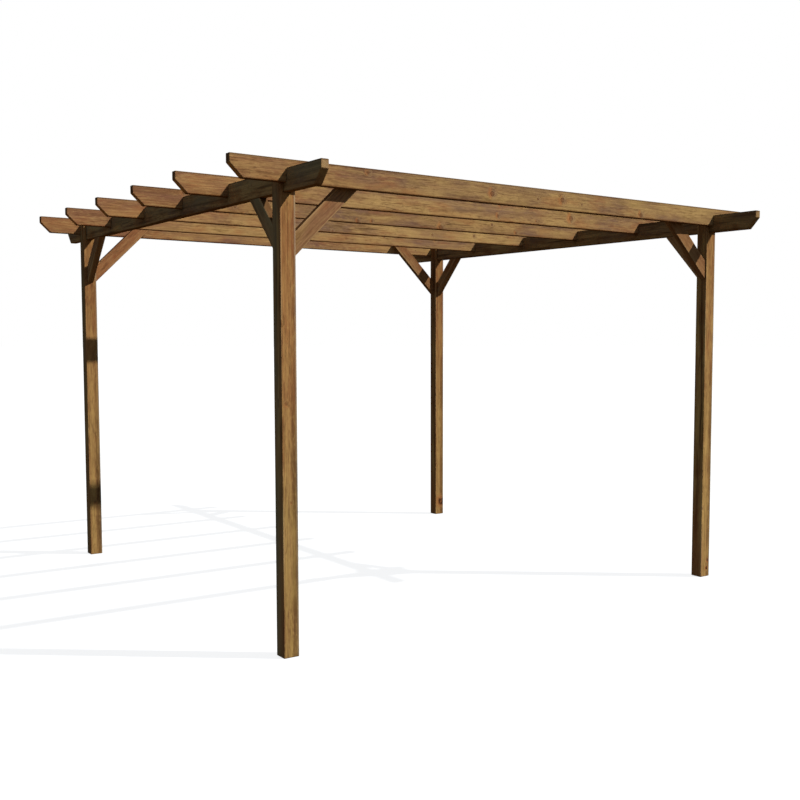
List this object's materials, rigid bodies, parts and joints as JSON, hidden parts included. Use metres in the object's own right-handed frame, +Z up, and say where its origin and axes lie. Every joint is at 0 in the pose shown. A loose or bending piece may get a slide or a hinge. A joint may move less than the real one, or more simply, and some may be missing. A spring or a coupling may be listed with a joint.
{
  "type": "wooden pergola",
  "caption": "Free-standing open timber pergola: square forked posts carry long beams, rafters with slanted ends are halved over them, and diagonal braces stiffen each post.",
  "frame": {"origin": "on the ground, in the middle of the rectangle that the posts stand on", "axes": "+X along the rafters to the right, +Y along the beams to the rear, +Z up"},
  "size_m": [3.97, 4.32, 2.64],
  "materials": {
    "posts": "brown stained softwood, planed, matt",
    "beams": "brown stained softwood, planed, matt",
    "rafters": "brown stained softwood, planed, matt",
    "braces": "brown stained softwood, planed, matt"
  },
  "bodies": {
    "root": {"front_left_post": "posts", "front_right_post": "posts", "rear_left_post": "posts", "rear_right_post": "posts", "left_beam": "beams", "right_beam": "beams", "rafter_1": "rafters", "rafter_2": "rafters", "rafter_3": "rafters", "rafter_4": "rafters", "rafter_5": "rafters", "rafter_6": "rafters", "front_left_beam_brace": "braces", "front_right_beam_brace": "braces", "rear_left_beam_brace": "braces", "rear_right_beam_brace": "braces", "front_left_rafter_brace": "braces", "front_right_rafter_brace": "braces", "rear_left_rafter_brace": "braces", "rear_right_rafter_brace": "braces"}
  },
  "joints": []
}
